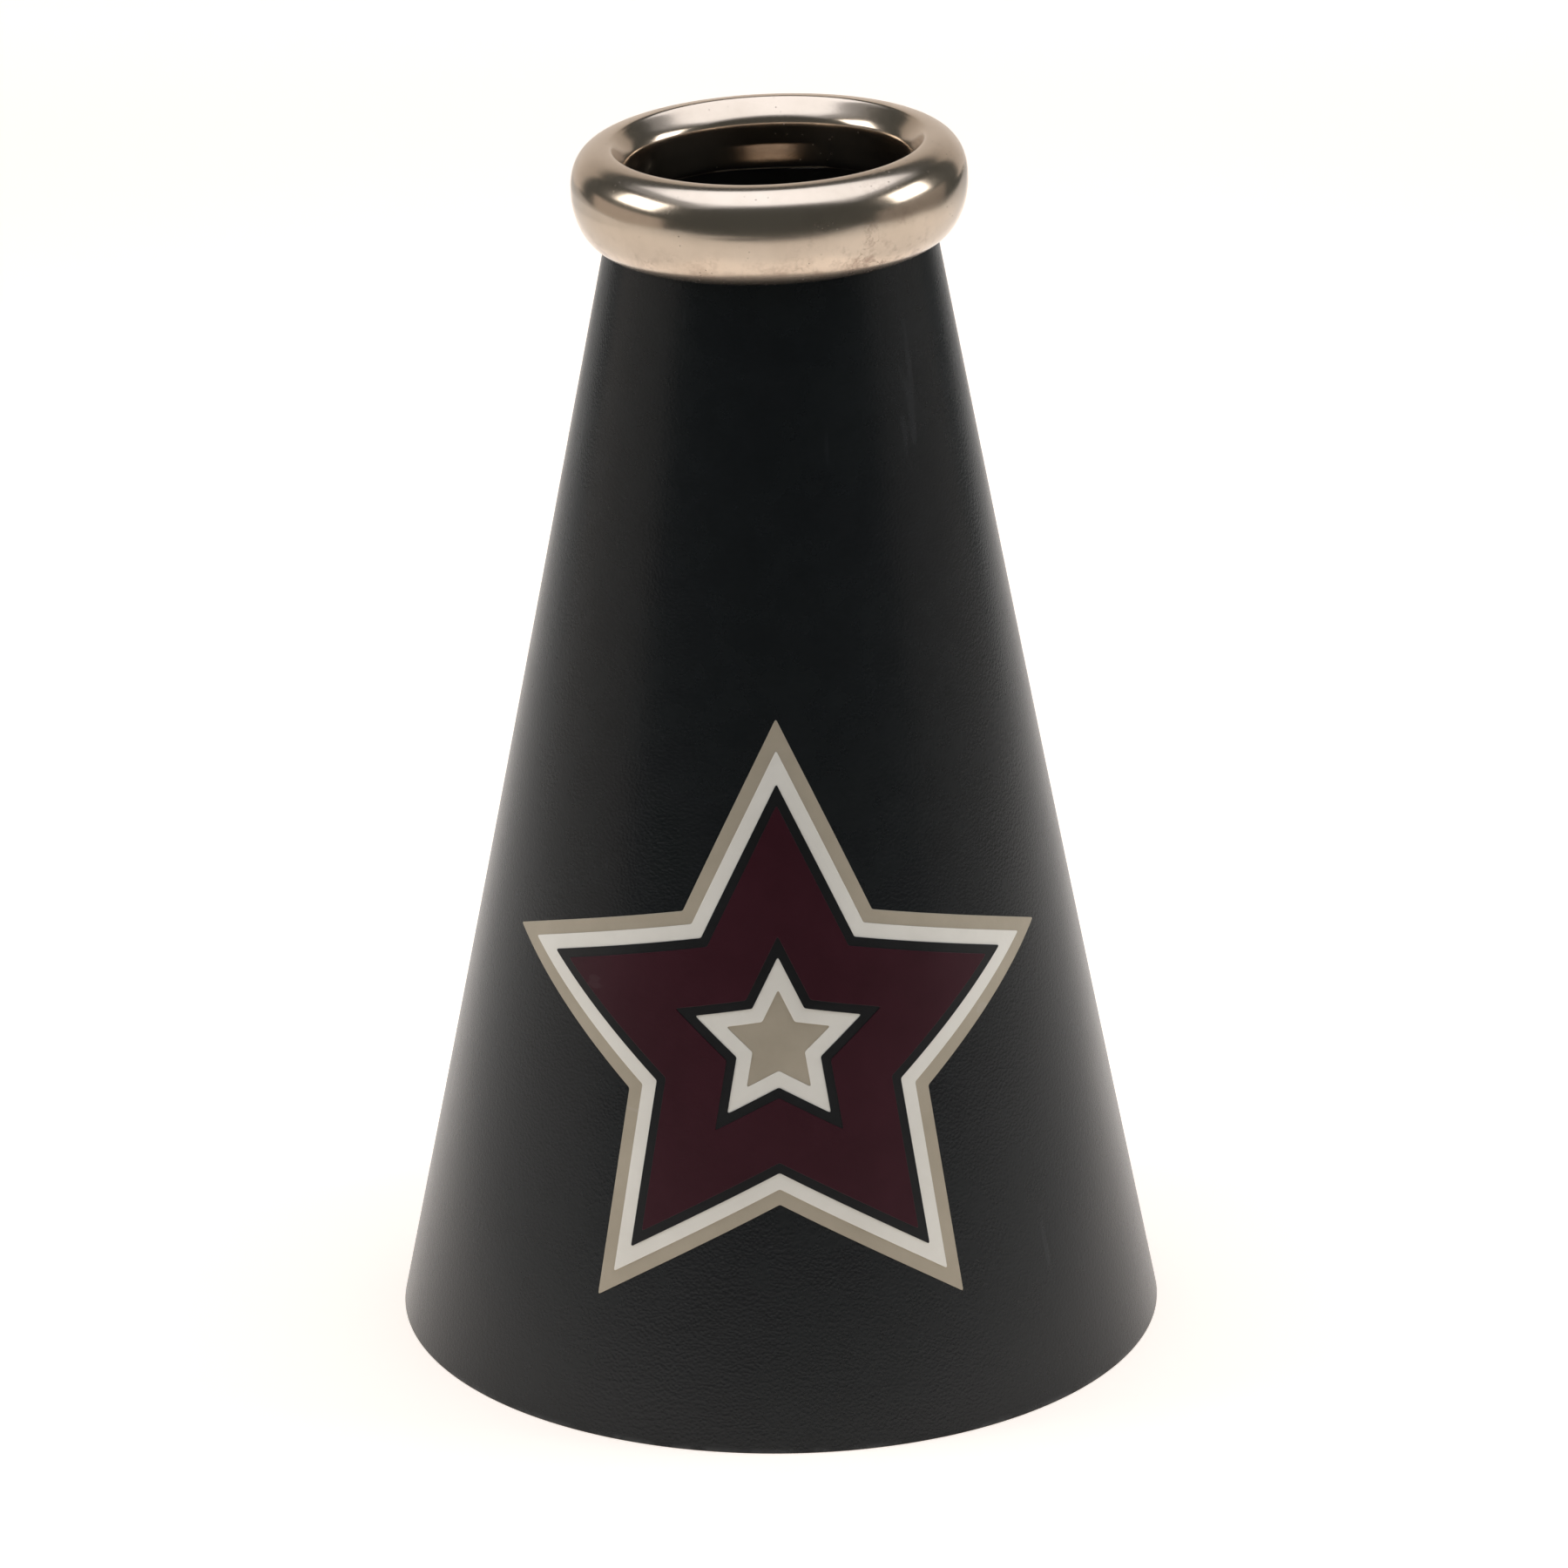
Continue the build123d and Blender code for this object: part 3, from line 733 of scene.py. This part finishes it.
# ---------------------------------------------------------------- the studio
def studio_floor():
    """A pale table top that sweeps up into a backdrop behind the object."""
    line = [(-0.45, 0.0), (1.08, 0.0)]
    for k in range(1, 13):
        a = radians(80 * k / 12)
        line.append((1.08 + 0.16 * sin(a), 0.16 * (1 - cos(a))))
    line.append((1.29, 0.98))
    verts, faces = [], []
    rows = []
    for y, z in span_line(line):
        wide = min(max((y - 0.1) / 0.7, 0), 1)
        left, right = 0.60 + 0.17 * wide, 0.58 - 0.09 * min(max((y - 0.05) / 0.22, 0), 1)
        if z > 0 or y > 1.07:  # the backdrop is wider than the table
            left, right = 1.21, 1.04
        rows.append([(-left + (left + right) * k / 24, y, z) for k in range(25)])
    for row in rows:
        verts += [(x / MM, y / MM, z / MM) for x, y, z in row]
    for i in range(len(rows) - 1):
        for k in range(24):
            faces.append((i * 25 + k, i * 25 + k + 1, (i + 1) * 25 + k + 1, (i + 1) * 25 + k))
    return verts, faces


def side_flat(where, size):
    """A plain grey board standing under one of the side lights."""
    x, y, z = where
    w, h = size
    return [(v[0] / MM, v[1] / MM, v[2] / MM) for v in ((x, y - w / 2, z), (x, y + w / 2, z), (x, y + w / 2, z + h), (x, y - w / 2, z + h))], [(0, 1, 2, 3)]


def span_line(line):
    pts = []
    for (a, b), (c, d) in zip(line, line[1:]):
        n = max(int(hypot(c - a, d - b) / 0.05), 1)
        pts += [(a + (c - a) * k / n, b + (d - b) * k / n) for k in range(n)]
    return pts + [line[-1]]


def stage_paper(name, glow):
    """Matt paper with a faint glow of its own. The table's is strongest in a lane that runs back from the object."""
    m = Nodes(name)
    grey = 0.42 if glow else 0.86
    m.shader.inputs["Base Color"].default_value = (grey * 1.02, grey * 0.975, grey * 0.905, 1)
    m.shader.inputs["Roughness"].default_value = 0.9
    m.shader.inputs["Specular IOR Level"].default_value = 0.0
    m.shader.inputs["Emission Color"].default_value = (1.0, 0.87, 0.77, 1)
    if glow:
        m.shader.inputs["Emission Strength"].default_value = glow * 1.15
        return m.mat
    x, y = m.math("ABSOLUTE", m.part("X")), m.part("Y")
    inset = m.math("SUBTRACT", x, m.math("MULTIPLY_ADD", y, 0.10, 0.112))
    lane = m.math("MULTIPLY", m.band(inset, 0.035, 0.0), m.band(y, -0.20, -0.09))
    level = m.math("ADD", m.band(y, 0.26, 0.66, 0.0, 0.46, smooth=False), m.band(y, 0.06, 0.16, 0.26, 0.18))
    lane = m.math("MULTIPLY", m.math("MULTIPLY", lane, level), m.band(y, 0.78, 0.72))
    back = m.band(y, 0.74, 0.86, 0.0, 0.30)
    # painted light: the glow is strongest within a third of a metre of the object's foot and fades outwards, filling in
    # the shade the object casts on the paper
    spread = m.band(m.away((0.0, 0.0, 0.0)), 0.33, 0.62, 0.29, 0.03)
    outside = m.band(m.away((0.0, 0.0, 0.0)), 0.0485, 0.0500)
    m.link(m.math("MULTIPLY", m.math("ADD", m.math("ADD", lane, spread), back), outside), m.shader.inputs["Emission Strength"])
    return m.mat


floor = build("studio_floor", *studio_floor(), stage_paper("studio_paper", 0))
for name, x, glow in (("left_flat", -1.15, 0.34), ("right_flat", 1.15, 0.14)):
    board = build(name, *side_flat((x, 0.03, -0.175), (1.22, 0.43)), stage_paper(name + "_grey", glow))

RING_C = Vector((0, 0, 0.1555))


def panel(name, where, aim, size, radiance, tint=(1, 1, 1), shape="RECTANGLE"):
    """A soft light of a stated radiance."""
    data = bpy.data.lights.new(name, "AREA")
    data.shape = shape
    data.size, data.size_y = size
    data.energy = radiance * pi * size[0] * size[1] * (pi / 4 if shape == "ELLIPSE" else 1)
    data.color = tint
    obj = bpy.data.objects.new(name, data)
    obj.location = where
    obj.rotation_euler = (Vector(aim) - Vector(where)).to_track_quat("-Z", "Y").to_euler()
    bpy.context.scene.collection.objects.link(obj)
    return obj


def direction(azimuth, elevation):
    a, e = radians(azimuth), radians(elevation)
    return Vector((sin(a) * cos(e), -cos(a) * cos(e), sin(e)))


panel("overhead", (0.055, 0.047, 0.9555), (0.055, 0.047, 0), (1.24, 1.01), 0.76, (0.88, 0.94, 1.07))
panel("overhead_core", (0.055, 0.047, 0.9505), (0.055, 0.047, 0), (1.30, 1.06), 0.62, (0.88, 0.94, 1.07), "ELLIPSE")
panel("overhead_spill", (0.03, -0.02, 1.0055), (0.03, -0.02, 0), (1.80, 1.20), 0.32, (0.88, 0.94, 1.07))
for name, az, el, size, radiance in (("right_box", 91, 20.5, (0.38, 0.31), 4.6), ("left_box", -86.5, 26.5, (0.40, 0.31), 4.2)):
    panel(name, RING_C + direction(az, el) * 0.8, RING_C, size, radiance)

world = bpy.data.worlds.new("dark_room")
world.use_nodes = True
world.node_tree.nodes["Background"].inputs["Color"].default_value = (0.93, 1.0, 0.97, 1)
world.node_tree.nodes["Background"].inputs["Strength"].default_value = 0.085
bpy.context.scene.world = world

# ---------------------------------------------------------------- the camera, at the photograph's height and distance
LOOK_UP, REACH, FOCAL_PX = 0.363931, 1.004497, 8749.877
cam_data = bpy.data.cameras.new("camera")
cam_data.sensor_width = 36.0
cam_data.lens = FOCAL_PX / 1800 * 36.0
cam_data.clip_start, cam_data.clip_end = 0.05, 20
cam = bpy.data.objects.new("camera", cam_data)
bpy.context.scene.collection.objects.link(cam)
ROLL = radians(0.50)
SIDE = 0.00099  # the object stands a hair to the left of the picture's middle
target = Vector((SIDE, 0, 0.07366))
cam.location = target + Vector((0, -cos(LOOK_UP), sin(LOOK_UP))) * REACH
tilt = -LOOK_UP - 0.000492
turn = Matrix.Rotation(pi / 2 + tilt, 4, "X") @ Matrix.Rotation(-ROLL, 4, "Z")
cam.rotation_euler = turn.to_euler()
bpy.context.scene.camera = cam
bpy.context.scene.view_settings.view_transform = "Standard"
